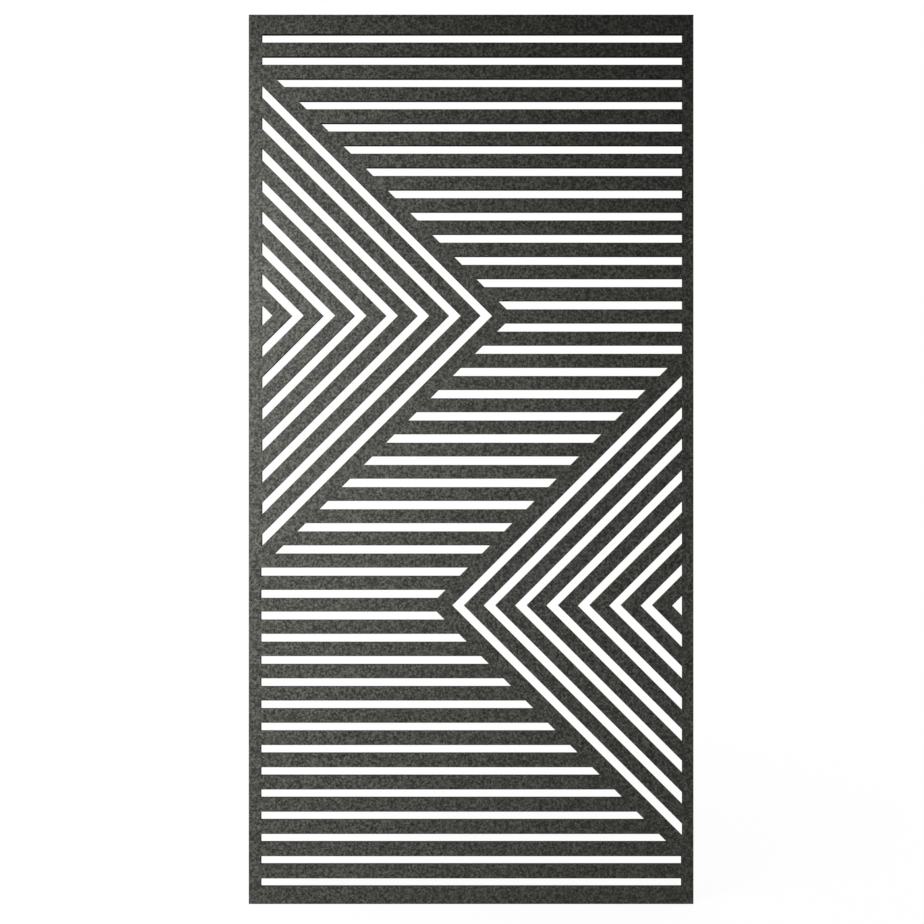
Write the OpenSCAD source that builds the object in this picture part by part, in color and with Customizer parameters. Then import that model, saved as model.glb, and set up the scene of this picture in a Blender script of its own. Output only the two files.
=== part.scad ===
// Flat laser-cut metal screen with a slot pattern of level rows and two opposed chevrons.
// The plate is held from behind, with nothing through its face, by a mitred frame of angle bars.
// Millimetres. +Z is up and the face looks along -Y. The origin is the middle of the footprint.

/* [Plate] */
// Width of the plate, and of the whole screen
plate_w = 900; // [700:5:1000]
// Height of the plate, and of the whole screen
plate_h = 1800; // [1650:5:2400]
// Thickness of the plate
plate_t = 8; // [3:0.5:12]

/* [Slots] */
// Width of every slot
slot_w = 17; // [12:0.5:22]
// Spacing of neighbouring slots, centre line to centre line
slot_pitch = 45; // [38:0.5:60]
// Solid band between the top edge and the first row
top_band = 39.3; // [34:0.1:60]
// Least solid band between the last row and the bottom edge
bottom_band = 30; // [28:1:50]
// Solid band at each side, with the pattern in the middle of the plate
side_band = 23.9; // [21:0.5:60]
// How far the upper rows and both chevrons sit to the right of the middle
upper_shift = 2.2; // [-3:0.1:3]
// How far the rows below the left chevron sit to the right of the middle
lower_shift = 0.3; // [-3:0.1:3]
// How far the rows below the right chevron's point are raised out of step
lower_rise = 1; // [0:0.1:6]

/* [Chevrons] */
// Height of the point midway between the two chevrons, from the middle of the plate
chevron_mid = -2.6; // [-20:0.1:20]
// Height from the right chevron's point up to the left chevron's point
chevron_rise = 587.2; // [540:0.1:640]
// How far each chevron's outer point passes the middle of the pattern
chevron_reach = 40.7; // [0:0.1:60]
// Solid band between the left chevron's outer slot and the row ends
left_band = 29.5; // [24:0.1:36]
// Solid band between the right chevron's outer slot and the row ends
right_band = 31.4; // [24:0.1:36]

/* [Rear frame] */
// Depth of the angle bars, front to back
angle_d = 20; // [18:0.5:40]
// Width of the flange that lies against the plate
flange_w = 15; // [14.5:0.5:20]
// Wall of the angle bars
angle_t = 3; // [2.5:0.1:3.5]
// Gap in the mitred corners
mitre_gap = 0.4; // [0.1:0.1:1]
// Thickness of the isolating tape between plate and frame
tape_t = 1; // [1:0.1:3]
// Distance that the tape stays back from both edges of the flange
tape_inset = 0.5; // [0.3:0.1:0.9]

/* [Studs] */
// Thread of the weld studs
stud_d = 5; // [4:0.5:5]
// Length of the weld studs, from the plate's back
stud_len = 12; // [11.5:0.5:14]
// Diameter of the studs' weld base
stud_base_d = 6.5; // [6:0.1:6.8]
// Height of the studs' weld base
stud_base_h = 0.8; // [0.4:0.1:1]
// Distance from each edge of the plate to the line of studs
stud_edge = 9; // [8.5:0.1:9.3]
// Distance from each corner to the first stud
stud_end = 60; // [50:1:100]
// Largest spacing of the studs
stud_step = 280; // [150:10:400]
// Outside diameter of the washers
washer_d = 10; // [9.5:0.1:10.5]
// Thickness of the washers
washer_t = 1; // [0.8:0.1:1.2]
// Width of the nuts across flats
nut_af = 8; // [7:0.1:8.5]
// Height of the nuts, with the locking collar
nut_h = 5; // [4:0.1:5]
// Height of the locking collar on the nuts
collar_h = 1.2; // [0.8:0.1:1.6]

/* [Corner cleats] */
// Length of each leg of the cleats
cleat_leg = 35; // [32:1:42]
// Thickness of the cleats
cleat_t = 4; // [3:0.1:4.5]
// Clearance of the cleats from the flange and from the back edge
cleat_clear = 1; // [0.5:0.1:2]
// Thread of the corner screws
screw_d = 4; // [3:0.5:4.5]
// Length of the corner screws, head included
screw_len = 8; // [7.5:0.5:9]
// Head diameter of the corner screws
screw_head_d = 8; // [7:0.1:8.5]
// Width across flats of the socket in the screw heads
socket_af = 2.5; // [2:0.1:3]
// Depth of the socket in the screw heads
socket_h = 1.4; // [1:0.1:1.8]
// Distance from the corner to the first corner screw
screw_first = 14; // [13:0.5:16]
// Distance from the first corner screw to the second
screw_step = 16; // [12:0.5:17]

/* [Fixing holes] */
// Diameter of the holes that take the installer's bolts
fixing_d = 6.6; // [5.5:0.1:9]
// Distance from each end to the first fixing hole in a stile
stile_fixing_end = 150; // [120:5:240]
// Distance from each end to the fixing hole in a rail
rail_fixing_end = 150; // [120:5:180]

/* [Hidden] */
$fn = 48;
diagonal = sqrt(2);

// Clearances
bolt_clear = 0.5; // stud hole over stud
thread_clear = 0.2; // internal thread over external thread
head_clear = 0.2; // countersink over screw head
base_clear = 0.6; // hole in the tape over the weld base
tape_joint = 0.5; // gap where two tapes meet
collar_step = 0.8; // nut's width across flats over its collar
stile_fixings = 4;
rail_fixings = 2;

// Depth positions, from the front
front_y = -(plate_t + tape_t + angle_d) / 2;
plate_back = front_y + plate_t;
frame_y = plate_back + tape_t;
leg_mid = (angle_t + angle_d) / 2; // middle of a leg's clear depth

// Slot pattern, measured from the plate's middle and bottom edge
field_half = plate_w / 2 - side_band;
field_left = upper_shift - field_half;
field_right = upper_shift + field_half;
left_axis = plate_h / 2 + chevron_mid + chevron_rise / 2;
right_axis = plate_h / 2 + chevron_mid - chevron_rise / 2;
left_tip = upper_shift + chevron_reach;
right_tip = upper_shift - chevron_reach;
left_keep = left_tip + left_band * diagonal; // point of the solid band round the left chevron
right_keep = right_tip - right_band * diagonal;
least_arm = slot_w / 2; // shorter cuts are left out
row_count = floor((plate_h - top_band - slot_w - bottom_band) / slot_pitch) + 1;

// Where the bands round the chevrons end at height z
function left_cut(z) = left_keep - abs(z - left_axis);
function right_cut(z) = right_keep + abs(z - right_axis);

// The end of a row's edge at height z: a margin, or the band where the row's centre line meets it
function row_shift(row) = row < left_axis && left_cut(row) < field_left ? lower_shift : upper_shift;
function left_end(row, z) = let (margin = row_shift(row) - field_half)
    left_cut(row) > margin ? max(left_cut(z), margin) : margin;
function right_end(row, z) = let (margin = row_shift(row) + field_half)
    right_cut(row) < margin ? min(right_cut(z), margin) : margin;

// Evenly spaced places along a bar, no further apart than step, or a given number of them
function spread(len, end, gaps) = [for (i = [0 : gaps]) end + i * (len - 2 * end) / gaps];
function stud_places(len) = spread(len, stud_end, ceil((len - 2 * stud_end) / stud_step));

// Diameter round the corners of a hexagon
function across_corners(flats) = flats * 2 / sqrt(3);

// ---- Slot pattern, drawn in the plane of the plate ----

// A level slot whose ends follow the margin or the slant of a chevron's band
module row_slot(row) {
    low = row - slot_w / 2;
    high = row + slot_w / 2;
    polygon([
        [left_end(row, low), low], [right_end(row, low), low],
        [right_end(row, high), high], [left_end(row, high), high]
    ]);
}

// All the rows from the top down; those below the right chevron's point are raised
module level_rows()
    for (n = [0 : row_count - 1]) {
        row = plate_h - top_band - slot_w / 2 - n * slot_pitch;
        translate([0, row < right_axis ? lower_rise : 0])
            row_slot(row);
    }

// A V-shaped slot pointing along +X from the origin, cut off square at the margin
module v_slot(arm) {
    inner = slot_w * diagonal;
    polygon(arm > inner
        ? [[0, 0], [-arm, arm], [-arm, arm - inner], [-inner, 0], [-arm, inner - arm], [-arm, -arm]]
        : [[0, 0], [-arm, arm], [-arm, -arm]]);
}

// Nested V slots from the outer point back to the margin
module chevron(reach)
    for (arm = [reach : -slot_pitch * diagonal : least_arm])
        translate([arm - reach, 0])
            v_slot(arm);

module slot_pattern() {
    level_rows();
    translate([left_tip, left_axis])
        chevron(left_tip - field_left);
    translate([right_tip, right_axis])
        mirror([1, 0])
            chevron(field_right - right_tip);
}

// ---- Places round the frame ----
// Each gives a bar's own frame: along +Z, its outer side at x = 0, its flange's face at y = 0

module on_left() translate([-plate_w / 2, frame_y, 0]) children();
module on_right() mirror([1, 0, 0]) on_left() children();
module on_bottom() on_left() mirror([0, 0, 1]) rotate([0, 90, 0]) children();
module on_top() translate([0, 0, plate_h]) mirror([0, 0, 1]) on_bottom() children();

module at_bottom_left() on_left() children();
module at_bottom_right() on_right() children();
module at_top_left() translate([0, 0, plate_h]) mirror([0, 0, 1]) on_left() children();
module at_top_right() mirror([1, 0, 0]) at_top_left() children();

module at_each_stud() {
    on_left() along(stud_places(plate_h)) children();
    on_right() along(stud_places(plate_h)) children();
    on_top() along(stud_places(plate_w)) children();
    on_bottom() along(stud_places(plate_w)) children();
}

// Stands the children on the flange's line of studs, pointing back
module along(places)
    for (place = places)
        translate([stud_edge, 0, place])
            rotate([-90, 0, 0])
                children();

// ---- Pieces ----

module cut_plate()
    color("#3a3b38")
        translate([0, plate_back, 0])
            rotate([90, 0, 0])
                linear_extrude(plate_t)
                    difference() {
                        translate([-plate_w / 2, 0]) square([plate_w, plate_h]);
                        slot_pattern();
                    }

// Angle bar with mitred ends, stud holes in its flange and holes in its leg
module angle_bar(len, fixing_end, fixings)
    color("#3e3f3c")
        difference() {
            intersection() {
                linear_extrude(len)
                    polygon([
                        [0, 0], [flange_w, 0], [flange_w, angle_t],
                        [angle_t, angle_t], [angle_t, angle_d], [0, angle_d]
                    ]);
                mitre_block(len);
            }
            along(stud_places(len))
                through_hole(stud_d + bolt_clear, angle_t);
            for (place = spread(len, fixing_end, fixings - 1))
                translate([0, leg_mid, place])
                    rotate([0, 90, 0])
                        through_hole(fixing_d, angle_t);
            for (place = [screw_first, screw_first + screw_step], end = [place, len - place])
                translate([0, leg_mid, end])
                    rotate([0, 90, 0])
                        countersink();
        }

module mitre_block(len) {
    start = mitre_gap / diagonal;
    translate([0, angle_d, 0])
        rotate([90, 0, 0])
            linear_extrude(angle_d)
                polygon([
                    [0, start], [flange_w, start + flange_w],
                    [flange_w, len - start - flange_w], [0, len - start]
                ]);
}

module through_hole(d, depth)
    translate([0, 0, -depth])
        cylinder(d = d, h = 3 * depth);

// Clearance hole with a 90 degree seat, opening at z = 0
module countersink() {
    hole_d = screw_d + 2 * head_clear;
    seat_d = screw_head_d + head_clear;
    through_hole(hole_d, angle_t);
    cylinder(d1 = seat_d, d2 = hole_d, h = (seat_d - hole_d) / 2);
}

module tape(len, start)
    color("#1c1c1c")
        translate([0, -tape_t, 0])
            difference() {
                translate([tape_inset, 0, start])
                    cube([flange_w - 2 * tape_inset, tape_t, len - 2 * start]);
                along(stud_places(len))
                    through_hole(stud_base_d + base_clear, tape_t);
            }

// L-shaped cleat seated in a corner of the frame, tapped for two screws a leg
module corner_cleat()
    color("#8d9092")
        difference() {
            translate([angle_t, angle_d - cleat_clear, angle_t])
                rotate([90, 0, 0])
                    linear_extrude(angle_d - angle_t - 2 * cleat_clear)
                        polygon([
                            [0, cleat_t / 2], [cleat_t / 2, 0], [cleat_leg, 0], [cleat_leg, cleat_t],
                            [cleat_t, cleat_t], [cleat_t, cleat_leg], [0, cleat_leg]
                        ]);
            at_each_screw()
                translate([0, 0, angle_t])
                    through_hole(screw_d + thread_clear, cleat_t);
        }

// Two screws through each leg of one corner, pointing inwards
module at_each_screw()
    for (place = [screw_first, screw_first + screw_step], turn = [0, 1])
        mirror(turn * [1, 0, -1])
            translate([0, leg_mid, place])
                rotate([0, 90, 0])
                    children();

// Countersunk screw with its flat head at z = 0 and a hexagon socket
module corner_screw()
    difference() {
        union() {
            cylinder(d = screw_d, h = screw_len);
            cylinder(d1 = screw_head_d, d2 = screw_d, h = (screw_head_d - screw_d) / 2);
        }
        translate([0, 0, -socket_h])
            cylinder(d = across_corners(socket_af), h = 2 * socket_h, $fn = 6);
    }

module corner_screws()
    color("#b9bcbe") {
        at_bottom_left() at_each_screw() corner_screw();
        at_bottom_right() at_each_screw() corner_screw();
        at_top_left() at_each_screw() corner_screw();
        at_top_right() at_each_screw() corner_screw();
    }

// Threaded stud with its weld base on the plate's back and a chamfered end
module weld_stud() {
    chamfer = stud_d / 8;
    cylinder(d = stud_base_d, h = stud_base_h);
    cylinder(d = stud_d, h = stud_len - chamfer);
    translate([0, 0, stud_len - chamfer])
        cylinder(d1 = stud_d, d2 = stud_d - 2 * chamfer, h = chamfer);
}

module weld_studs()
    color("#c4c6c7")
        at_each_stud()
            translate([0, 0, -tape_t])
                weld_stud();

module stud_washers()
    color("#c4c6c7")
        at_each_stud()
            translate([0, 0, angle_t])
                difference() {
                    cylinder(d = washer_d, h = washer_t);
                    through_hole(stud_d + bolt_clear, washer_t);
                }

// Hexagon nut with a round locking collar
module lock_nut()
    difference() {
        union() {
            cylinder(d = across_corners(nut_af), h = nut_h - collar_h, $fn = 6);
            cylinder(d = nut_af - collar_step, h = nut_h);
        }
        through_hole(stud_d + thread_clear, nut_h);
    }

module stud_nuts()
    color("#c4c6c7")
        at_each_stud()
            translate([0, 0, angle_t + washer_t])
                lock_nut();

module left_stile() on_left() angle_bar(plate_h, stile_fixing_end, stile_fixings);
module right_stile() on_right() angle_bar(plate_h, stile_fixing_end, stile_fixings);
module top_rail() on_top() angle_bar(plate_w, rail_fixing_end, rail_fixings);
module bottom_rail() on_bottom() angle_bar(plate_w, rail_fixing_end, rail_fixings);

module left_tape() on_left() tape(plate_h, tape_inset);
module right_tape() on_right() tape(plate_h, tape_inset);
module top_tape() on_top() tape(plate_w, flange_w - tape_inset + tape_joint);
module bottom_tape() on_bottom() tape(plate_w, flange_w - tape_inset + tape_joint);

module top_left_cleat() at_top_left() corner_cleat();
module top_right_cleat() at_top_right() corner_cleat();
module bottom_left_cleat() at_bottom_left() corner_cleat();
module bottom_right_cleat() at_bottom_right() corner_cleat();

cut_plate();
left_stile();
right_stile();
top_rail();
bottom_rail();
left_tape();
right_tape();
top_tape();
bottom_tape();
top_left_cleat();
top_right_cleat();
bottom_left_cleat();
bottom_right_cleat();
corner_screws();
weld_studs();
stud_washers();
stud_nuts();
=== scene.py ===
"""Looks of a flat laser-cut metal screen: its powder-coated plate, rear frame, fixings and studio."""

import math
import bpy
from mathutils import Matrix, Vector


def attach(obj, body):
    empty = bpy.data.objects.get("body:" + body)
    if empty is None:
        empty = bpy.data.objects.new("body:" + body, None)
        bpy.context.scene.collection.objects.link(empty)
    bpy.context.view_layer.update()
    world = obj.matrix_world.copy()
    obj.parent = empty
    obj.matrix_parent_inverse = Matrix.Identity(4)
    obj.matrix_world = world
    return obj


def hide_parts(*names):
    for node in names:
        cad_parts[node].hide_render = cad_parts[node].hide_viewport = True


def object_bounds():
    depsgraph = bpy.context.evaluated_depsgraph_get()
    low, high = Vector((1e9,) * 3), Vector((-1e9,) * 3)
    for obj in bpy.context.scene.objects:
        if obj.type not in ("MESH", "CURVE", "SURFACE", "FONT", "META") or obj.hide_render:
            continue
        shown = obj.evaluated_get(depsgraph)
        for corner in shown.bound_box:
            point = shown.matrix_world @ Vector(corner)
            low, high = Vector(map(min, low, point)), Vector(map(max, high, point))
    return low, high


bl_info = {
    "name": "Laser-cut metal screen",
    "version": (1, 0, 0),
    "blender": (4, 5, 0),
    "location": "3D View > Sidebar > Metal Screen",
    "description": "Dresses a laser-cut screen and its rear frame, and sets up the studio",
    "category": "Object",
}

import bmesh
import bpy
from bpy.props import FloatProperty, FloatVectorProperty, PointerProperty, StringProperty
from bpy.types import Operator, Panel, PropertyGroup
from mathutils import Matrix, Vector

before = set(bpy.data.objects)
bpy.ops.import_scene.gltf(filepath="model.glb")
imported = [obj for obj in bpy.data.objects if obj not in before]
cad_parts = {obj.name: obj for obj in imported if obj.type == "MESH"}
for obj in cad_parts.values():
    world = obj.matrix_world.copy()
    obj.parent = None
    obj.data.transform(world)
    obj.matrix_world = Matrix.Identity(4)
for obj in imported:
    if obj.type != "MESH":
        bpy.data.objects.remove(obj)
WHOLE_LOW, WHOLE_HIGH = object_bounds()

MM = 0.001
BODY = "root"
BARS = ("left_stile", "right_stile", "top_rail", "bottom_rail")
TAPES = ("left_tape", "right_tape", "top_tape", "bottom_tape")
CLEATS = ("top_left_cleat", "top_right_cleat", "bottom_left_cleat", "bottom_right_cleat")

WELD = 0.002 * MM  # corners of loose triangles closer than this are one corner
SPECK = WELD / 10  # edges shorter than this are left over from rounding, and are closed up
FLAT = math.radians(0.5)  # faces that turn less than this are one flat face
CREASE = math.radians(30)  # edges that turn more than this are real edges
SQUARE = math.radians(80)  # edges that turn more than this are square corners
ROUND = 48  # sides of a round piece, a multiple of the six sides of a hexagon
ALIGNED = 0.9  # least share of a normal along an axis for a face to count as facing it
RINGS_PER_TURN = 4  # rings of points that draw one turn of a thread

BACKWARDS = Matrix.Rotation(math.radians(-90), 4, "X")  # turns a piece's +Z to the frame's +Y


# ---- Selecting and shaping ----


def only(piece):
    """Makes this the only selected object, and the active one."""
    bpy.ops.object.select_all(action="DESELECT")
    piece.select_set(True)
    bpy.context.view_layer.objects.active = piece


def edit(piece):
    """Enters edit mode on one piece with nothing selected."""
    only(piece)
    bpy.ops.object.mode_set(mode="EDIT")
    bpy.ops.mesh.select_all(action="DESELECT")


def leave_edit():
    """Goes back from edit mode to object mode."""
    bpy.ops.object.mode_set(mode="OBJECT")


def pick(piece, kind, test):
    """In edit mode, selects only the faces, edges or verts that pass the test."""
    bpy.ops.mesh.select_mode(type={"faces": "FACE", "edges": "EDGE", "verts": "VERT"}[kind])
    bpy.ops.mesh.select_all(action="DESELECT")
    shape = bmesh.from_edit_mesh(piece.data)
    picked = [part for part in getattr(shape, kind) if test(part)]
    for part in picked:
        part.select_set(True)
    shape.select_flush_mode()
    bmesh.update_edit_mesh(piece.data)
    if not picked:
        raise RuntimeError(f"nothing to select on {piece.name}")


def modify(piece, kind, **settings):
    """Adds a modifier with these settings and applies it."""
    only(piece)
    modifier = piece.modifiers.new(kind.title(), kind)
    for name, value in settings.items():
        setattr(modifier, name, value)
    bpy.ops.object.modifier_apply(modifier=modifier.name)


def soften_edges(piece, radius, steps=2):
    """Rounds every real edge, as a coating or a tumbling drum does."""
    modify(
        piece,
        "BEVEL",
        width=radius,
        segments=steps,
        limit_method="ANGLE",
        angle_limit=CREASE,
        use_clamp_overlap=False,
        loop_slide=False,
    )
    edit(piece)
    bpy.ops.mesh.select_all(action="SELECT")
    bpy.ops.mesh.dissolve_degenerate(threshold=SPECK)
    leave_edit()


def shade_flat_faces_flat(piece):
    """Shades round walls smooth and leaves flat faces and real edges crisp."""
    only(piece)
    bpy.ops.object.shade_smooth_by_angle(angle=CREASE)
    modify(piece, "WEIGHTED_NORMAL", mode="FACE_AREA", weight=100, keep_sharp=True)


def recalculate_normals(piece):
    """Merges doubled points and turns every face outwards."""
    edit(piece)
    bpy.ops.mesh.select_all(action="SELECT")
    bpy.ops.mesh.remove_doubles(threshold=WELD)
    bpy.ops.mesh.normals_make_consistent(inside=False)
    leave_edit()


def merged_copy(node, name):
    """Copies a CAD node and joins its loose triangles into whole flat faces."""
    piece = bpy.data.objects.new(name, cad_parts[node].data.copy())
    bpy.context.scene.collection.objects.link(piece)
    edit(piece)
    bpy.ops.mesh.customdata_custom_splitnormals_clear()
    bpy.ops.mesh.select_all(action="SELECT")
    bpy.ops.mesh.remove_doubles(threshold=WELD)
    bpy.ops.mesh.dissolve_limited(angle_limit=FLAT)
    leave_edit()
    return piece


def solid_boxes(node):
    """Low and high corner of each separate solid in a CAD node, from the bottom up."""
    piece = merged_copy(node, node + "_apart")
    edit(piece)
    bpy.ops.mesh.select_all(action="SELECT")
    bpy.ops.mesh.separate(type="LOOSE")
    leave_edit()
    boxes = []
    for part in list(bpy.context.selected_objects):
        corners = [vertex.co for vertex in part.data.vertices]
        low = Vector([min(corner[axis] for corner in corners) for axis in range(3)])
        high = Vector([max(corner[axis] for corner in corners) for axis in range(3)])
        boxes.append((low, high))
        bpy.data.objects.remove(part)
    return sorted(boxes, key=lambda box: (round(box[0].z, 4), round(box[0].x, 4)))


def new_cylinder(name, radius, height, sides=ROUND, base=0.0):
    """A closed cylinder standing on the given height along +Z."""
    bpy.ops.object.select_all(action="DESELECT")
    bpy.ops.mesh.primitive_cylinder_add(
        vertices=sides, radius=radius, depth=height, location=(0, 0, base + height / 2)
    )
    piece = bpy.context.object
    piece.name = name
    bpy.ops.object.transform_apply(location=True, rotation=True, scale=True)
    return piece


def combine(piece, other, operation):
    """Joins, cuts or keeps the overlap of a piece with another, which is used up."""
    modify(piece, "BOOLEAN", object=other, operation=operation, solver="EXACT")
    bpy.data.objects.remove(other)


def faces_up(height):
    """A test for the flat face that looks along +Z at a height."""
    return lambda face: face.normal.z > ALIGNED and abs(face.calc_center_median().z - height) < WELD


def cut_thread(piece, radius, pitch, depth, start, end):
    """Cuts a screw thread between two heights by drawing rings of points inwards along a helix."""
    near = radius / 10  # only points this close to the radius are on the thread's wall
    edit(piece)
    pick(piece, "edges", lambda edge: runs_up(edge, start, end))
    bpy.ops.mesh.subdivide(number_cuts=round((end - start) / pitch * RINGS_PER_TURN) - 1)
    shape = bmesh.from_edit_mesh(piece.data)
    for vertex in shape.verts:
        across = vertex.co.xy.length
        if start + WELD < vertex.co.z < end - WELD and abs(across - radius) < near:
            turn = vertex.co.z / pitch - math.atan2(vertex.co.y, vertex.co.x) / math.tau
            wave = abs(2 * (turn - math.floor(turn)) - 1)  # 1 at a crest and 0 at a root
            vertex.co.xy *= 1 - (1 - wave) * depth / radius
    bmesh.update_edit_mesh(piece.data)
    leave_edit()


def runs_up(edge, start, end):
    """True for an edge that runs straight from one height to the other."""
    heights = sorted(vertex.co.z for vertex in edge.verts)
    return abs(heights[0] - start) < WELD and abs(heights[1] - end) < WELD


def place_copies(model, name, node, places):
    """Puts a copy of the model, with its own mesh, at each place, and removes the model."""
    for number, place in enumerate(places, 1):
        piece = bpy.data.objects.new(f"{name}_{number:02d}", model.data.copy())
        bpy.context.scene.collection.objects.link(piece)
        piece.matrix_world = place
        only(piece)
        bpy.ops.object.transform_apply(location=True, rotation=True, scale=True)
        stands_for(piece, node)
    bpy.data.objects.remove(model)


def stands_for(piece, node):
    """Puts a finished piece on the body in the place of its CAD node, and hides that node."""
    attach(piece, BODY)
    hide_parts(node)


def dress(piece, *materials):
    """Gives a piece these materials, in the order of its slots."""
    piece.data.materials.clear()
    for material in materials:
        piece.data.materials.append(material)


# ---- Materials ----


def linear(colour):
    """An sRGB hex colour as linear RGBA."""
    channels = [int(colour.lstrip("#")[place : place + 2], 16) / 255 for place in (0, 2, 4)]
    return [c / 12.92 if c <= 0.04045 else ((c + 0.055) / 1.055) ** 2.4 for c in channels] + [1.0]


def add_node(tree, kind, inputs=None, **settings):
    """Adds a node with its settings; each input is given a value or the socket it is linked to."""
    node = tree.nodes.new("ShaderNode" + kind)
    for name, value in settings.items():
        setattr(node, name, value)
    for name, value in (inputs or {}).items():
        if isinstance(value, bpy.types.NodeSocket):
            tree.links.new(value, node.inputs[name])
        else:
            node.inputs[name].default_value = value
    return node


COLOUR_A, COLOUR_B, COLOUR_RESULT = 6, 7, 2  # a Mix node's colour sockets
FLOAT_A, FLOAT_B = 2, 3  # a Mix node's number sockets


def new_material(name):
    """An empty material and its node tree."""
    material = bpy.data.materials.new(name)
    material.use_nodes = True
    material.node_tree.nodes.clear()
    return material, material.node_tree


def finish_material(tree, shader):
    """Links the last shader to the surface."""
    add_node(tree, "OutputMaterial", {"Surface": shader.outputs[0]})


def powder_coat(name, colours, grain, relief, roughness, sheen_level):
    """Polyester powder, sprayed dry and baked on: a low sheen broken by a sandy grain.

    The colours are those of the hollows, the coat and the grains that stand out of it: the
    darker hollows are painted shade and the lighter grains painted light, standing in for the
    light and shade on the grain's relief. The real grit is too fine to show when the whole
    screen is in view, so a coarser grain is drawn with it, as large as it needs to be to show
    there.
    """
    grit_size = 0.45 * MM
    grit_relief = 0.07 * MM
    grit_share = 0.45  # how far the grit shifts the colour, next to 1 for the coarser grain
    middle = (1 + grit_share) / 2  # the mean of both grains together, where the coat's colour is
    spread = 0.19  # from there to the painted shade of the hollows, and to the painted light of the flecks
    gloss_spread = 0.06
    material, tree = new_material(name)
    place = add_node(tree, "TexCoord").outputs["Object"]
    sand = add_node(
        tree, "TexNoise", {"Vector": place, "Scale": 1 / grain, "Detail": 2.0, "Roughness": 0.72}
    ).outputs["Fac"]
    grit = add_node(
        tree, "TexNoise", {"Vector": place, "Scale": 1 / grit_size, "Detail": 1.0}
    ).outputs["Fac"]
    shade = add_node(
        tree, "Math", {0: grit, 1: grit_share, 2: sand}, operation="MULTIPLY_ADD"
    ).outputs[0]
    # the colour follows the grain that drives the bump: painted shade where it is low, painted light
    # where it stands up
    colour = add_node(tree, "ValToRGB", {"Fac": shade})
    stops = colour.color_ramp.elements
    stops.new(middle)
    for stop, step, tint in zip(stops, (-1, 0, 1), colours):
        stop.position = middle + step * spread
        stop.color = linear(tint)
    gloss = add_node(
        tree,
        "MapRange",
        {"Value": sand, "To Min": roughness - gloss_spread, "To Max": roughness + gloss_spread},
    ).outputs["Result"]
    grit_bump = add_node(tree, "Bump", {"Height": grit, "Strength": 1.0, "Distance": grit_relief})
    bump = add_node(
        tree,
        "Bump",
        {"Height": sand, "Strength": 1.0, "Distance": relief, "Normal": grit_bump.outputs["Normal"]},
    )
    shader = add_node(
        tree,
        "BsdfPrincipled",
        {
            "Base Color": colour.outputs["Color"],
            "Roughness": gloss,
            "Specular IOR Level": sheen_level,
            "Normal": bump.outputs["Normal"],
        },
    )
    finish_material(tree, shader)
    return material


def rubber(name):
    """EPDM rubber, extruded flat: matt black with a faint dusty bloom."""
    bloom_size = 6 * MM
    bloom_relief = 0.1 * MM
    material, tree = new_material(name)
    place = add_node(tree, "TexCoord").outputs["Object"]
    bloom = add_node(
        tree, "TexNoise", {"Vector": place, "Scale": 1 / bloom_size, "Detail": 4.0}
    ).outputs["Fac"]
    colour = add_node(
        tree,
        "Mix",
        {0: bloom, COLOUR_A: linear("#161616"), COLOUR_B: linear("#232322")},
        data_type="RGBA",
    ).outputs[COLOUR_RESULT]
    bump = add_node(tree, "Bump", {"Height": bloom, "Strength": 0.3, "Distance": bloom_relief})
    shader = add_node(
        tree,
        "BsdfPrincipled",
        {"Base Color": colour, "Roughness": 0.85, "Normal": bump.outputs["Normal"]},
    )
    finish_material(tree, shader)
    return material


def mill_aluminium(name):
    """Extruded aluminium, sawn to length: fine drawn lines, and coarser saw marks on the cut ends."""
    drawn_width = 0.4 * MM
    drawn_length = 30 * MM
    sawn_width = 0.7 * MM
    sawn_length = 25 * MM
    line_relief = 0.05 * MM
    end_share = 0.7  # a face with more than this share of its normal along Y is a cut end
    smoothest, roughest = 0.34, 0.52
    material, tree = new_material(name)
    place = add_node(tree, "TexCoord").outputs["Object"]
    drawn_along_y = add_node(
        tree,
        "Mapping",
        {"Vector": place, "Scale": (1 / drawn_width, 1 / drawn_length, 1 / drawn_width)},
    ).outputs["Vector"]
    drawn = add_node(
        tree, "TexNoise", {"Vector": drawn_along_y, "Scale": 1.0, "Detail": 3.0}
    ).outputs["Fac"]
    sawn_along_x = add_node(
        tree, "Mapping", {"Vector": place, "Scale": (1 / sawn_length, 1.0, 1 / sawn_width)}
    ).outputs["Vector"]
    sawn = add_node(
        tree, "TexNoise", {"Vector": sawn_along_x, "Scale": 1.0, "Detail": 2.0}
    ).outputs["Fac"]
    normal = add_node(tree, "NewGeometry").outputs["Normal"]
    facing = add_node(tree, "SeparateXYZ", {0: normal}).outputs["Y"]
    share = add_node(tree, "Math", {0: facing}, operation="ABSOLUTE").outputs[0]
    cut_end = add_node(tree, "Math", {0: share, 1: end_share}, operation="GREATER_THAN").outputs[0]
    lines = add_node(tree, "Mix", {0: cut_end, FLOAT_A: drawn, FLOAT_B: sawn}).outputs[0]
    colour = add_node(
        tree,
        "Mix",
        {0: lines, COLOUR_A: linear("#A2A5A8"), COLOUR_B: linear("#C4C6C8")},
        data_type="RGBA",
    ).outputs[COLOUR_RESULT]
    gloss = add_node(
        tree, "MapRange", {"Value": lines, "To Min": smoothest, "To Max": roughest}
    ).outputs["Result"]
    bump = add_node(tree, "Bump", {"Height": lines, "Strength": 0.4, "Distance": line_relief})
    shader = add_node(
        tree,
        "BsdfPrincipled",
        {"Base Color": colour, "Metallic": 1.0, "Roughness": gloss, "Normal": bump.outputs["Normal"]},
    )
    finish_material(tree, shader)
    return material


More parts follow.
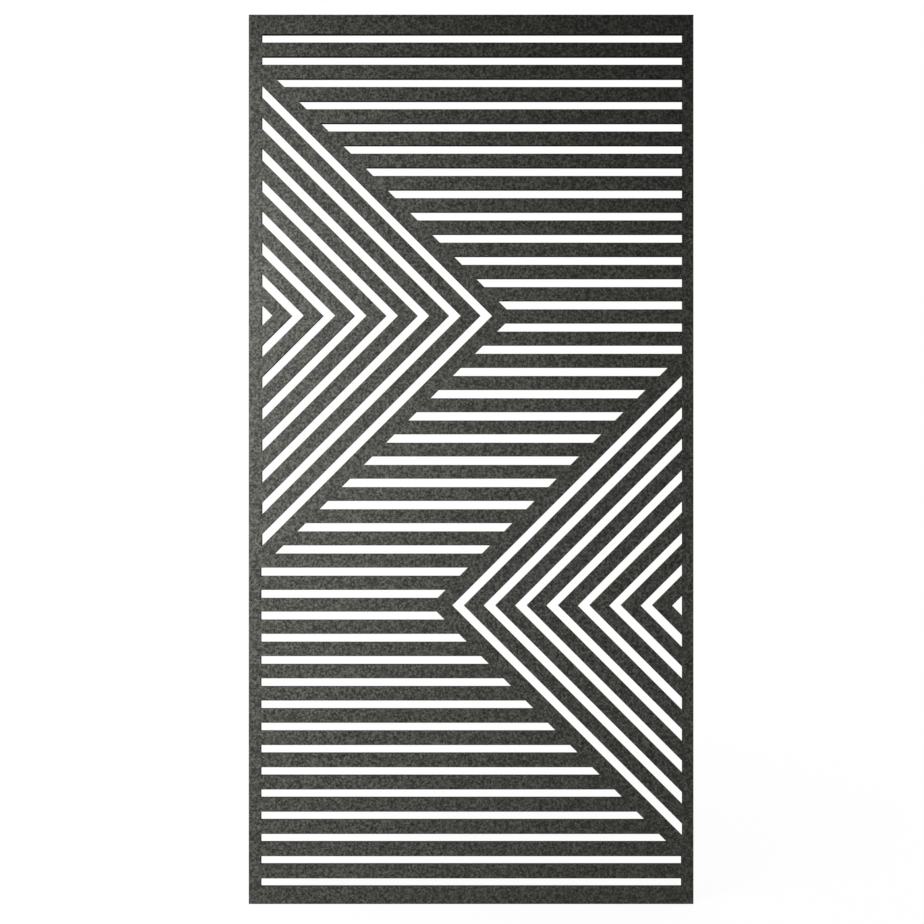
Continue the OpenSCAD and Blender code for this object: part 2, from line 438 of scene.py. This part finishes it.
def bright_metal(name, dark, light, roughness, smear):
    """Rolled or turned metal left bare: bright, with smears of handling and washing."""
    gloss_spread = 0.08
    material, tree = new_material(name)
    place = add_node(tree, "TexCoord").outputs["Object"]
    smears = add_node(
        tree, "TexNoise", {"Vector": place, "Scale": 1 / smear, "Detail": 5.0, "Roughness": 0.6}
    ).outputs["Fac"]
    colour = add_node(
        tree,
        "Mix",
        {0: smears, COLOUR_A: linear(dark), COLOUR_B: linear(light)},
        data_type="RGBA",
    ).outputs[COLOUR_RESULT]
    gloss = add_node(
        tree,
        "MapRange",
        {"Value": smears, "To Min": roughness - gloss_spread, "To Max": roughness + gloss_spread},
    ).outputs["Result"]
    shader = add_node(
        tree, "BsdfPrincipled", {"Base Color": colour, "Metallic": 1.0, "Roughness": gloss}
    )
    finish_material(tree, shader)
    return material


def nylon(name):
    """Moulded nylon, waxy and slightly cloudy."""
    cloud_size = 1.5 * MM
    material, tree = new_material(name)
    place = add_node(tree, "TexCoord").outputs["Object"]
    cloud = add_node(
        tree, "TexNoise", {"Vector": place, "Scale": 1 / cloud_size, "Detail": 2.0}
    ).outputs["Fac"]
    colour = add_node(
        tree,
        "Mix",
        {0: cloud, COLOUR_A: linear("#C9CCC6"), COLOUR_B: linear("#DEE0DA")},
        data_type="RGBA",
    ).outputs[COLOUR_RESULT]
    shader = add_node(tree, "BsdfPrincipled", {"Base Color": colour, "Roughness": 0.42})
    finish_material(tree, shader)
    return material


# ---- Sizes and colours a user would change ----


class PlateSettings(PropertyGroup):
    """Coat of the plate's faces, and the thinner, matt coat inside the slots, whose darker colour is
    painted shade
    """

    edge: FloatProperty(
        name="Edge rounding",
        description="Radius that the coat gives to the cut edges",
        default=0.4 * MM,
        unit="LENGTH",
    )
    # the hollow colour is painted shade and the fleck colour painted light on the coat's grain
    hollow_painted_shade: StringProperty(name="Hollow", description="Coat colour in its hollows", default="#161714")
    coat: StringProperty(name="Coat", description="Colour of most of the coat", default="#3F403B")
    fleck_painted_light: StringProperty(name="Fleck", description="Coat colour on its grains", default="#666761")
    grain: FloatProperty(
        name="Grain", description="Size of the coat's grain as drawn", default=4.2 * MM, unit="LENGTH"
    )
    relief: FloatProperty(
        name="Relief",
        description="Height of the coat's grain as drawn",
        default=0.16 * MM,
        unit="LENGTH",
    )
    roughness: FloatProperty(
        name="Roughness",
        description="Roughness of the coat",
        default=0.6,
        min=0.0,
        max=1.0,
        subtype="FACTOR",
    )
    sheen_level: FloatProperty(
        name="Sheen",
        description="Strength of the coat's sheen",
        default=0.15,
        min=0.0,
        max=1.0,
        subtype="FACTOR",
    )
    # the cut walls' colours are darker than the face's: painted shade inside the slots
    cut_hollow_painted_shade: StringProperty(
        name="Cut hollow", description="Coat colour in the hollows of the cut walls", default="#232421"
    )
    cut_coat_painted_shade: StringProperty(name="Cut coat", description="Colour of the cut walls", default="#2F302D")
    cut_fleck_painted_shade_and_light: StringProperty(
        name="Cut fleck", description="Coat colour on the grains of the cut walls", default="#3C3D39"
    )
    cut_roughness: FloatProperty(
        name="Cut roughness",
        description="Roughness of the cut walls",
        default=0.9,
        min=0.0,
        max=1.0,
        subtype="FACTOR",
    )
    cut_sheen_level: FloatProperty(
        name="Cut sheen",
        description="Strength of the sheen of the cut walls",
        default=0.0,
        min=0.0,
        max=1.0,
        subtype="FACTOR",
    )


class FrameSettings(PropertyGroup):
    """Edges and coat of the rear frame, with its tapes and cleats"""

    edge: FloatProperty(
        name="Edge rounding", description="Radius of the bars' edges", default=0.4 * MM, unit="LENGTH"
    )
    root: FloatProperty(
        name="Root radius",
        description="Radius inside the angle of the bars",
        default=0.8 * MM,
        unit="LENGTH",
    )
    # the hollow colour is painted shade and the fleck colour painted light on the coat's grain
    hollow_painted_shade: StringProperty(name="Hollow", description="Coat colour in its hollows", default="#2B2C29")
    coat: StringProperty(name="Coat", description="Colour of most of the coat", default="#3A3B38")
    fleck_painted_light: StringProperty(name="Fleck", description="Coat colour on its grains", default="#4A4B48")
    grain: FloatProperty(
        name="Grain", description="Size of the coat's grain as drawn", default=4 * MM, unit="LENGTH"
    )
    relief: FloatProperty(
        name="Relief",
        description="Height of the coat's grain as drawn",
        default=0.06 * MM,
        unit="LENGTH",
    )
    roughness: FloatProperty(
        name="Roughness",
        description="Roughness of the coat",
        default=0.42,
        min=0.0,
        max=1.0,
        subtype="FACTOR",
    )
    sheen_level: FloatProperty(
        name="Sheen",
        description="Strength of the coat's sheen",
        default=0.35,
        min=0.0,
        max=1.0,
        subtype="FACTOR",
    )
    cleat_edge: FloatProperty(
        name="Cleat edge", description="Radius of the cleats' edges", default=0.16 * MM, unit="LENGTH"
    )
    cleat_root: FloatProperty(
        name="Cleat root",
        description="Radius inside the angle of the cleats",
        default=2 * MM,
        unit="LENGTH",
    )
    tape_edge: FloatProperty(
        name="Tape edge",
        description="Radius of the tapes' squeezed edges",
        default=0.35 * MM,
        unit="LENGTH",
    )


class FixingSettings(PropertyGroup):
    """Threads, sockets and nuts of the fasteners"""

    stud_pitch: FloatProperty(
        name="Stud pitch", description="Thread pitch of the studs", default=0.8 * MM, unit="LENGTH"
    )
    stud_width: FloatProperty(
        name="Stud width",
        description="Outside diameter of the studs' thread",
        default=5 * MM,
        unit="LENGTH",
    )
    stud_base: FloatProperty(
        name="Stud base", description="Height of the studs' weld base", default=0.8 * MM, unit="LENGTH"
    )
    screw_pitch: FloatProperty(
        name="Screw pitch",
        description="Thread pitch of the corner screws",
        default=0.7 * MM,
        unit="LENGTH",
    )
    screw_width: FloatProperty(
        name="Screw width",
        description="Outside diameter of the screws' thread",
        default=4 * MM,
        unit="LENGTH",
    )
    socket_flats: FloatProperty(
        name="Socket",
        description="Width across flats of the screw sockets",
        default=2.5 * MM,
        unit="LENGTH",
    )
    socket_depth: FloatProperty(
        name="Socket depth", description="Depth of the screw sockets", default=1.4 * MM, unit="LENGTH"
    )
    washer_clear: FloatProperty(
        name="Washer clearance",
        description="How much wider the washers' hole is than the studs",
        default=0.5 * MM,
        unit="LENGTH",
    )
    nut_flats: FloatProperty(
        name="Nut", description="Width across flats of the lock nuts", default=8 * MM, unit="LENGTH"
    )
    collar: FloatProperty(
        name="Collar",
        description="Height of the lock nuts' rolled collar",
        default=1.2 * MM,
        unit="LENGTH",
    )
    nylon_width: FloatProperty(
        name="Nylon ring",
        description="Outside diameter of the nuts' nylon ring",
        default=6.2 * MM,
        unit="LENGTH",
    )


class StudioSettings(PropertyGroup):
    """Camera, lights, surround and floor"""

    lens: FloatProperty(name="Lens", description="Focal length", default=35.0, unit="CAMERA")
    distance: FloatProperty(
        name="Distance",
        description="Camera to the face of the plate",
        default=1817.8 * MM,
        unit="LENGTH",
    )
    side: FloatProperty(
        name="Side", description="Camera to the right of the middle", default=-18.46 * MM, unit="LENGTH"
    )
    height: FloatProperty(
        name="Height", description="Camera above the bottom edge", default=894.6 * MM, unit="LENGTH"
    )
    key_place: FloatVectorProperty(
        name="Key place",
        description="Middle of the soft key light",
        default=(-1.42, -1.17, 1.42),
        subtype="TRANSLATION",
        unit="LENGTH",
    )
    key_target: FloatVectorProperty(
        name="Key target",
        description="Point that the key light faces",
        default=(-1.19, 0.0, -0.62),
        subtype="TRANSLATION",
        unit="LENGTH",
    )
    key_size: FloatProperty(
        name="Key size", description="Width of the soft key light", default=1.5, unit="LENGTH"
    )
    key_power: FloatProperty(
        name="Key", description="Power of the soft key light", default=84.0, unit="POWER"
    )
    back_place: FloatVectorProperty(
        name="Back place",
        description="Middle of the soft light behind the screen",
        default=(0.8, 2.6, 2.4),
        subtype="TRANSLATION",
        unit="LENGTH",
    )
    back_size: FloatProperty(
        name="Back size",
        description="Width of the soft light behind the screen",
        default=1.6,
        unit="LENGTH",
    )
    back_power: FloatProperty(
        name="Back", description="Power of the soft light behind the screen", default=30.0, unit="POWER"
    )
    side_place: FloatVectorProperty(
        name="Side light place",
        description="Middle of the soft light on the right-hand edge",
        default=(2.4, 0.9, 1.5),
        subtype="TRANSLATION",
        unit="LENGTH",
    )
    side_size: FloatProperty(
        name="Side light size",
        description="Width of the soft light on the right-hand edge",
        default=1.2,
        unit="LENGTH",
    )
    side_power: FloatProperty(
        name="Side light",
        description="Power of the soft light on the right-hand edge",
        default=30.0,
        unit="POWER",
    )
    fill: FloatProperty(
        name="Fill",
        description="Level of the light from the room in front",
        default=0.04,
        min=0.0,
        max=1.0,
        subtype="FACTOR",
    )
    back_fill: FloatProperty(
        name="Back fill",
        description="Level of the light from the backdrop behind",
        default=0.9,
        min=0.0,
        max=1.0,
        subtype="FACTOR",
    )
    front_gloss: FloatProperty(
        name="Front gloss",
        description="Level of the room that the face reflects",
        default=0.25,
        min=0.0,
        max=1.0,
        subtype="FACTOR",
    )
    floor: StringProperty(
        name="Floor", description="Colour of the floor where it is seen", default="#E6E6E4"
    )
    floor_bounce: StringProperty(
        name="Floor bounce",
        description="Colour of the light that the floor throws back at the screen",
        default="#6A6A69",
    )
    shadow: FloatProperty(
        name="Shadow",
        description="Share of the floor's colour that takes shadow",
        default=0.06,
        min=0.0,
        max=1.0,
        subtype="FACTOR",
    )


# ---- Pieces ----


class METALSCREEN_OT_cut_plate(Operator):
    """Rounds the cut edges of the plate as its coat does, and coats it, thinly inside the slots and
    darker there as painted shade
    """

    bl_idname = "metal_screen.cut_plate"
    bl_label = "Cut plate"

    def execute(self, context):
        settings = context.scene.screen_plate
        piece = merged_copy("cut_plate", "coated_plate")
        soften_edges(piece, settings.edge)
        shade_flat_faces_flat(piece)
        coat = powder_coat(
            "textured_charcoal_powder_coat",
            (settings.hollow_painted_shade, settings.coat, settings.fleck_painted_light),
            settings.grain,
            settings.relief,
            settings.roughness,
            settings.sheen_level,
        )
        # the walls inside the slots get darker colours, painted shade, and a matt finish
        cut_wall_coat_painted_shade = powder_coat(
            "thin_matt_powder_coat_in_the_cuts",
            (settings.cut_hollow_painted_shade, settings.cut_coat_painted_shade, settings.cut_fleck_painted_shade_and_light),
            settings.grain,
            settings.relief,
            settings.cut_roughness,
            settings.cut_sheen_level,
        )
        dress(piece, coat, cut_wall_coat_painted_shade)
        dress_cut_walls(piece)
        stands_for(piece, "cut_plate")
        return {"FINISHED"}


def dress_cut_walls(piece):
    """Gives the piece's second material to the walls that the laser cut through its thickness."""
    edit(piece)
    pick(piece, "faces", lambda face: abs(face.normal.y) < 1 - ALIGNED)
    piece.active_material_index = 1
    bpy.ops.object.material_slot_assign()
    leave_edit()


class METALSCREEN_OT_frame_bars(Operator):
    """Gives the angle bars their root radius and soft edges, and coats them"""

    bl_idname = "metal_screen.frame_bars"
    bl_label = "Frame bars"

    def execute(self, context):
        settings = context.scene.screen_frame
        coat = powder_coat(
            "satin_charcoal_powder_coat",
            (settings.hollow_painted_shade, settings.coat, settings.fleck_painted_light),
            settings.grain,
            settings.relief,
            settings.roughness,
            settings.sheen_level,
        )
        for node in BARS:
            piece = merged_copy(node, "coated_" + node)
            round_the_root(piece, settings.root)
            soften_edges(piece, settings.edge)
            shade_flat_faces_flat(piece)
            dress(piece, coat)
            stands_for(piece, node)
        return {"FINISHED"}


def round_the_root(piece, radius):
    """Fills the sharp inside corner of an angle with the radius of its extrusion."""
    shortest_root = min(max(piece.dimensions) / 4, 10 * MM)  # the root runs along the whole piece

    def is_root(edge):
        square = edge.is_manifold and edge.calc_face_angle() > SQUARE
        return square and not edge.is_convex and edge.calc_length() > shortest_root

    edit(piece)
    clear_beside(piece, is_root, 2 * radius)
    pick(piece, "edges", is_root)
    bpy.ops.mesh.bevel(offset=radius, segments=4, affect="EDGES")
    leave_edit()


def clear_beside(piece, is_root, width):
    """Frees a strip on both sides of the root from the flat edges that run to the holes."""
    shape = bmesh.from_edit_mesh(piece.data)
    root = next(edge for edge in shape.edges if is_root(edge))
    start = root.verts[0].co.copy()
    along = root.verts[1].co - start
    strips = []
    for face in root.link_faces:
        away = face.normal.cross(along).normalized()
        if away.dot(face.calc_center_median() - start) < 0:
            away.negate()
        strips.append((face.normal.copy(), away))
    for normal, away in strips:
        bpy.ops.mesh.select_all(action="SELECT")
        bpy.ops.mesh.bisect(plane_co=start + away * width, plane_no=away)

    def in_a_strip(edge):
        reach = (edge.verts[0].co + edge.verts[1].co) / 2 - start
        return edge.calc_face_angle() < FLAT and any(
            abs(reach.dot(normal)) < WELD and WELD < reach.dot(away) < width - WELD
            for normal, away in strips
        )

    shape = bmesh.from_edit_mesh(piece.data)
    if any(in_a_strip(edge) for edge in shape.edges):
        pick(piece, "edges", in_a_strip)
        bpy.ops.mesh.dissolve_edges()


class METALSCREEN_OT_rubber_tapes(Operator):
    """Rounds the squeezed edges of the tapes between plate and frame"""

    bl_idname = "metal_screen.rubber_tapes"
    bl_label = "Rubber tapes"

    def execute(self, context):
        black = rubber("matt_epdm_rubber")
        for node in TAPES:
            piece = merged_copy(node, "squeezed_" + node)
            soften_edges(piece, context.scene.screen_frame.tape_edge, steps=3)
            shade_flat_faces_flat(piece)
            dress(piece, black)
            stands_for(piece, node)
        return {"FINISHED"}


class METALSCREEN_OT_corner_cleats(Operator):
    """Rounds the corner cleats' edges and leaves them in mill finish"""

    bl_idname = "metal_screen.corner_cleats"
    bl_label = "Corner cleats"

    def execute(self, context):
        settings = context.scene.screen_frame
        metal = mill_aluminium("mill_finish_aluminium")
        for node in CLEATS:
            piece = merged_copy(node, "sawn_" + node)
            round_the_root(piece, settings.cleat_root)
            soften_edges(piece, settings.cleat_edge)
            shade_flat_faces_flat(piece)
            dress(piece, metal)
            stands_for(piece, node)
        return {"FINISHED"}


class METALSCREEN_OT_corner_screws(Operator):
    """Models a countersunk socket screw and drives one into each hole of the corners"""

    bl_idname = "metal_screen.corner_screws"
    bl_label = "Corner screws"

    def execute(self, context):
        boxes = solid_boxes("corner_screws")
        places = [screw_place(low, high) for low, high in boxes]
        low, high = boxes[0]
        model = countersunk_screw(context.scene.screen_fixings, max(high - low))
        steel = bright_metal(
            "a2_stainless_steel", "#A6A49E", "#C6C5C0", roughness=0.26, smear=3 * MM
        )
        dress(model, steel)
        place_copies(model, "corner_screw", "corner_screws", places)
        return {"FINISHED"}


def screw_place(low, high):
    """Where a corner screw stands: its head on the outside of the frame, its point inwards."""
    middle = (low + high) / 2
    for axis in (0, 2):
        for side, edge, limit in ((1, low, WHOLE_LOW), (-1, high, WHOLE_HIGH)):
            if abs(edge[axis] - limit[axis]) < WELD:
                inwards = Vector((0, 0, 0))
                inwards[axis] = side
                head = middle.copy()
                head[axis] = limit[axis]
                turn = inwards.to_track_quat("Z", "Y").to_matrix().to_4x4()
                return Matrix.Translation(head) @ turn
    raise RuntimeError("a corner screw doesn't reach the outside of the frame")


def countersunk_screw(settings, head_width):
    """A screw with its flat head at z = 0 and its point along +Z, head_width long and wide."""
    head_radius = head_width / 2
    shank = settings.screw_width / 2
    thread_depth = 0.35 * MM
    land = 0.2 * MM  # straight rim of the head
    point = 0.5 * MM  # chamfer at the tip
    cone_end = head_radius - shank
    length = head_width
    piece = new_cylinder("corner_screw_model", head_radius - land, land)
    edit(piece)
    pick(piece, "faces", faces_up(land))
    extrude_up(cone_end - land, shank / (head_radius - land))
    extrude_up(length - point - cone_end, 1)
    extrude_up(point, (shank - point) / shank)
    leave_edit()
    cut_thread(piece, shank, settings.screw_pitch, thread_depth, cone_end, length - point)
    corner_radius = settings.socket_flats / math.sqrt(3)
    socket = new_cylinder(
        "socket", corner_radius, 2 * settings.socket_depth, sides=6, base=-settings.socket_depth
    )
    combine(piece, socket, "DIFFERENCE")
    recalculate_normals(piece)
    shade_flat_faces_flat(piece)
    return piece


def extrude_up(rise, taper):
    """Extrudes the selected face along +Z, then scales it about the axis."""
    bpy.ops.mesh.extrude_region_move(TRANSFORM_OT_translate={"value": (0, 0, rise)})
    if taper != 1:
        bpy.ops.transform.resize(value=(taper, taper, 1), center_override=(0, 0, 0))


class METALSCREEN_OT_weld_studs(Operator):
    """Models a threaded weld stud and stands one on each place behind the plate"""

    bl_idname = "metal_screen.weld_studs"
    bl_label = "Weld studs"

    def execute(self, context):
        boxes = solid_boxes("weld_studs")
        low, high = boxes[0]
        base_width, length = (high - low).x, (high - low).y
        model = weld_stud(context.scene.screen_fixings, base_width, length)
        metal = bright_metal(
            "bright_rolled_aluminium", "#B4B6B8", "#D6D8DA", roughness=0.32, smear=2 * MM
        )
        dress(model, metal)
        place_copies(model, "weld_stud", "weld_studs", backward_places(boxes))
        return {"FINISHED"}


def backward_places(boxes, turn_step=0.0):
    """Stands each piece on the middle of its box's front, pointing back, each turned a step further."""
    places = []
    for number, (low, high) in enumerate(boxes):
        foot = Vector(((low.x + high.x) / 2, low.y, (low.z + high.z) / 2))
        turn = Matrix.Rotation(number * turn_step, 4, "Z")
        places.append(Matrix.Translation(foot) @ BACKWARDS @ turn)
    return places


def weld_stud(settings, base_width, length):
    """A stud with its weld base at z = 0, a rolled thread and a chamfered end."""
    radius = settings.stud_width / 2
    base_radius = base_width / 2
    thread_depth = 0.45 * MM
    chamfer = radius / 4
    bevel = 0.15 * MM  # round the top of the weld base
    piece = new_cylinder("weld_stud_model", base_radius, settings.stud_base - bevel, sides=ROUND // 2)
    edit(piece)
    pick(piece, "faces", faces_up(settings.stud_base - bevel))
    extrude_up(bevel, 1 - bevel / base_radius)
    bpy.ops.mesh.inset(thickness=base_radius - bevel - radius)
    extrude_up(length - settings.stud_base - chamfer, 1)
    extrude_up(chamfer, (radius - chamfer) / radius)
    leave_edit()
    cut_thread(
        piece, radius, settings.stud_pitch, thread_depth, settings.stud_base, length - chamfer
    )
    recalculate_normals(piece)
    shade_flat_faces_flat(piece)
    return piece


class METALSCREEN_OT_stud_washers(Operator):
    """Models a stamped washer and lays one over each stud"""

    bl_idname = "metal_screen.stud_washers"
    bl_label = "Stud washers"

    def execute(self, context):
        settings = context.scene.screen_fixings
        boxes = solid_boxes("stud_washers")
        low, high = boxes[0]
        hole = settings.stud_width + settings.washer_clear
        model = washer((high - low).x, (high - low).y, hole)
        steel = bright_metal(
            "stamped_stainless_steel", "#A19F99", "#C2C1BC", roughness=0.3, smear=4 * MM
        )
        dress(model, steel)
        place_copies(model, "stud_washer", "stud_washers", backward_places(boxes))
        return {"FINISHED"}


def washer(width, thickness, hole):
    """A flat ring with the rolled-over rim and sharp underside that stamping leaves."""
    rim = 0.2 * MM
    piece = new_cylinder("stud_washer_model", width / 2, thickness)
    edit(piece)
    pick(piece, "faces", lambda face: abs(face.normal.z) > ALIGNED)
    bpy.ops.mesh.inset(thickness=(width - hole) / 2)
    bpy.ops.mesh.bridge_edge_loops()
    pick(
        piece,
        "edges",
        lambda edge: all(abs(vertex.co.z - thickness) < WELD for vertex in edge.verts)
        and all(abs(vertex.co.xy.length - width / 2) < WELD for vertex in edge.verts),
    )
    bpy.ops.mesh.bevel(offset=rim, segments=3, affect="EDGES")
    leave_edit()
    recalculate_normals(piece)
    shade_flat_faces_flat(piece)
    return piece


class METALSCREEN_OT_stud_nuts(Operator):
    """Models a lock nut with its nylon ring and runs one down each stud"""

    bl_idname = "metal_screen.stud_nuts"
    bl_label = "Stud nuts"

    def execute(self, context):
        boxes = solid_boxes("stud_nuts")
        low, high = boxes[0]
        model = lock_nut(context.scene.screen_fixings, (high - low).y)
        turn_step = math.radians(23)  # each nut stops where it is tight
        place_copies(model, "lock_nut", "stud_nuts", backward_places(boxes, turn_step))
        return {"FINISHED"}


def lock_nut(settings, height):
    """A hexagon nut with chamfered corners, a rolled collar and a nylon ring inside the collar."""
    flat_radius = settings.nut_flats / 2
    corner_radius = flat_radius * 2 / math.sqrt(3)
    stud_radius = settings.stud_width / 2
    hexagon_height = height - settings.collar
    corner_chamfer = 0.45 * MM
    collar_radius = flat_radius - 0.4 * MM
    collar_round = 0.45 * MM
    sunk = MM  # the collar starts this high inside the hexagon
    bore = stud_radius + 0.1 * MM
    recess = settings.nylon_width / 2
    lip = 0.2 * MM  # the collar stands this far over the ring

    piece = new_cylinder("lock_nut_model", corner_radius, hexagon_height, sides=6)
    drum = new_cylinder("drum", corner_radius, hexagon_height)
    soften_edges(drum, corner_chamfer, steps=1)
    combine(piece, drum, "INTERSECT")
    collar = new_cylinder("collar", collar_radius, height - sunk, base=sunk)
    edit(collar)
    pick(
        collar,
        "edges",
        lambda edge: all(abs(vertex.co.z - height) < WELD for vertex in edge.verts),
    )
    bpy.ops.mesh.bevel(offset=collar_round, segments=4, affect="EDGES")
    leave_edit()
    combine(piece, collar, "UNION")
    combine(piece, new_cylinder("bore", bore, 3 * height, base=-height), "DIFFERENCE")
    combine(piece, new_cylinder("recess", recess, height, base=hexagon_height), "DIFFERENCE")
    recalculate_normals(piece)
    steel = bright_metal(
        "turned_stainless_steel", "#A8A6A0", "#C9C8C3", roughness=0.24, smear=3 * MM
    )
    dress(piece, steel)

    clear = 0.02 * MM  # between the ring and the metal round it
    ring_edge = 0.12 * MM
    ring = new_cylinder("ring", recess - clear, settings.collar - lip, base=hexagon_height + clear)
    edit(ring)
    pick(ring, "faces", lambda face: abs(face.normal.z) > ALIGNED)
    bpy.ops.mesh.inset(thickness=recess - clear - stud_radius - clear)
    bpy.ops.mesh.bridge_edge_loops()
    leave_edit()
    soften_edges(ring, ring_edge, steps=1)
    recalculate_normals(ring)
    dress(ring, nylon("moulded_nylon"))
    only(piece)
    ring.select_set(True)
    bpy.ops.object.join()
    shade_flat_faces_flat(piece)
    return piece


# ---- Studio ----


class METALSCREEN_OT_studio(Operator):
    """Sets up the pale floor, the soft lights, the white surround and the camera"""

    bl_idname = "metal_screen.studio"
    bl_label = "Studio"

    def execute(self, context):
        settings = context.scene.screen_studio
        pale_floor(settings)
        middle = (WHOLE_LOW + WHOLE_HIGH) / 2
        soft_light(
            "key_light", settings.key_place, settings.key_target, settings.key_size, settings.key_power
        )
        soft_light("back_light", settings.back_place, middle, settings.back_size, settings.back_power)
        soft_light("side_light", settings.side_place, middle, settings.side_size, settings.side_power)
        white_surround(context.scene, settings)
        face = WHOLE_LOW.y
        bpy.ops.object.camera_add(
            location=(settings.side, face - settings.distance, settings.height),
            rotation=(math.radians(90), 0, 0),
        )
        camera = bpy.context.object
        camera.name = "studio_camera"
        camera.data.lens = settings.lens
        context.scene.camera = camera
        context.scene.view_settings.view_transform = "Standard"
        return {"FINISHED"}


def soft_light(name, place, target, size, power):
    """A square soft box that faces the target."""
    direction = Vector(target) - Vector(place)
    bpy.ops.object.light_add(
        type="AREA", location=place, rotation=direction.to_track_quat("-Z", "Y").to_euler()
    )
    light = bpy.context.object
    light.name = name
    light.data.shape = "SQUARE"
    light.data.size = size
    light.data.energy = power


def seen(tree, gloss_level):
    """1 for what the camera sees straight or through glass, the level in a reflection, and else 0."""
    path = add_node(tree, "LightPath")
    plain = add_node(
        tree,
        "Math",
        {0: path.outputs["Is Camera Ray"], 1: path.outputs["Is Transmission Ray"]},
        operation="MAXIMUM",
    ).outputs[0]
    gloss = add_node(
        tree, "Math", {0: path.outputs["Is Glossy Ray"], 1: gloss_level}, operation="MULTIPLY"
    ).outputs[0]
    return add_node(tree, "Math", {0: gloss, 1: plain}, operation="MAXIMUM").outputs[0]


def white_surround(scene, settings):
    """A world that is white where it is seen, dimmer in front, and only a low fill for the light."""
    # shares of a direction along Y, between which a level turns from the room's to the backdrop's
    gloss_from, gloss_to = -0.4, 0.1
    fill_from, fill_to = 0.0, 0.5
    scene.world = bpy.data.worlds.new("white_surround")
    scene.world.use_nodes = True
    tree = scene.world.node_tree
    tree.nodes.clear()
    direction = add_node(tree, "TexCoord").outputs["Generated"]
    backwards = add_node(tree, "SeparateXYZ", {0: direction}).outputs["Y"]
    reflected = add_node(
        tree,
        "MapRange",
        {
            "Value": backwards,
            "From Min": gloss_from,
            "From Max": gloss_to,
            "To Min": settings.front_gloss,
            "To Max": 1.0,
        },
    ).outputs["Result"]
    fill = add_node(
        tree,
        "MapRange",
        {
            "Value": backwards,
            "From Min": fill_from,
            "From Max": fill_to,
            "To Min": settings.fill,
            "To Max": settings.back_fill,
        },
    ).outputs["Result"]
    level = add_node(tree, "Math", {0: seen(tree, reflected), 1: fill}, operation="MAXIMUM").outputs[0]
    background = add_node(tree, "Background", {"Color": (1, 1, 1, 1), "Strength": level})
    add_node(tree, "OutputWorld", {"Surface": background.outputs[0]})


def pale_floor(settings):
    """A round pale floor that looks white and keeps a soft shadow near the screen."""
    floor_radius = 8.0  # metres
    # metres from the screen where its shadow starts to fade, and where it ends
    shadow_full, shadow_gone = 0.5, 1.8
    bpy.ops.object.select_all(action="DESELECT")
    bpy.ops.mesh.primitive_circle_add(vertices=2 * ROUND, radius=floor_radius, fill_type="NGON")
    floor = bpy.context.object
    floor.name = "floor"
    material, tree = new_material("pale_studio_floor")
    place = add_node(tree, "TexCoord").outputs["Object"]
    far = add_node(tree, "VectorMath", {0: place}, operation="LENGTH").outputs["Value"]
    shadow = add_node(
        tree,
        "MapRange",
        {
            "Value": far,
            "From Min": shadow_full,
            "From Max": shadow_gone,
            "To Min": settings.shadow,
            "To Max": 0.0,
        },
    ).outputs["Result"]
    white_share = add_node(tree, "Math", {0: 1.0, 1: shadow}, operation="SUBTRACT").outputs[0]
    shown = seen(tree, 1.0)
    share = add_node(tree, "Math", {0: shown, 1: white_share}, operation="MULTIPLY").outputs[0]
    # the light that the floor throws back at the screen is held down by a darker colour
    colour = add_node(
        tree,
        "Mix",
        {0: shown, COLOUR_A: linear(settings.floor_bounce), COLOUR_B: linear(settings.floor)},
        data_type="RGBA",
    ).outputs[COLOUR_RESULT]
    matt = add_node(tree, "BsdfDiffuse", {"Color": colour})
    white = add_node(tree, "Emission", {"Color": (1, 1, 1, 1), "Strength": 1.0})
    mixed = add_node(tree, "MixShader", {0: share, 1: matt.outputs[0], 2: white.outputs[0]})
    finish_material(tree, mixed)
    dress(floor, material)


# ---- Panel and registration ----

STEPS = (
    METALSCREEN_OT_cut_plate,
    METALSCREEN_OT_frame_bars,
    METALSCREEN_OT_rubber_tapes,
    METALSCREEN_OT_corner_cleats,
    METALSCREEN_OT_corner_screws,
    METALSCREEN_OT_weld_studs,
    METALSCREEN_OT_stud_washers,
    METALSCREEN_OT_stud_nuts,
    METALSCREEN_OT_studio,
)

SETTINGS = {
    "screen_plate": PlateSettings,
    "screen_frame": FrameSettings,
    "screen_fixings": FixingSettings,
    "screen_studio": StudioSettings,
}


class METALSCREEN_PT_sidebar(Panel):
    """Lists the sizes and colours of the screen, and a button for each step"""

    bl_idname = "METALSCREEN_PT_sidebar"
    bl_label = "Metal Screen"
    bl_space_type = "VIEW_3D"
    bl_region_type = "UI"
    bl_category = "Metal Screen"

    def draw(self, context):
        for name, group in SETTINGS.items():
            box = self.layout.box()
            for setting in group.__annotations__:
                box.prop(getattr(context.scene, name), setting)
        for step in STEPS:
            self.layout.operator(step.bl_idname)


def register():
    for kind in (*SETTINGS.values(), *STEPS, METALSCREEN_PT_sidebar):
        bpy.utils.register_class(kind)
    for name, group in SETTINGS.items():
        setattr(bpy.types.Scene, name, PointerProperty(type=group))


def unregister():
    for name in SETTINGS:
        delattr(bpy.types.Scene, name)
    for kind in reversed((*SETTINGS.values(), *STEPS, METALSCREEN_PT_sidebar)):
        bpy.utils.unregister_class(kind)


def main():
    """Takes the steps in order."""
    register()
    for step in STEPS:
        group, action = step.bl_idname.split(".")
        getattr(getattr(bpy.ops, group), action)()


if __name__ == "__main__":
    main()
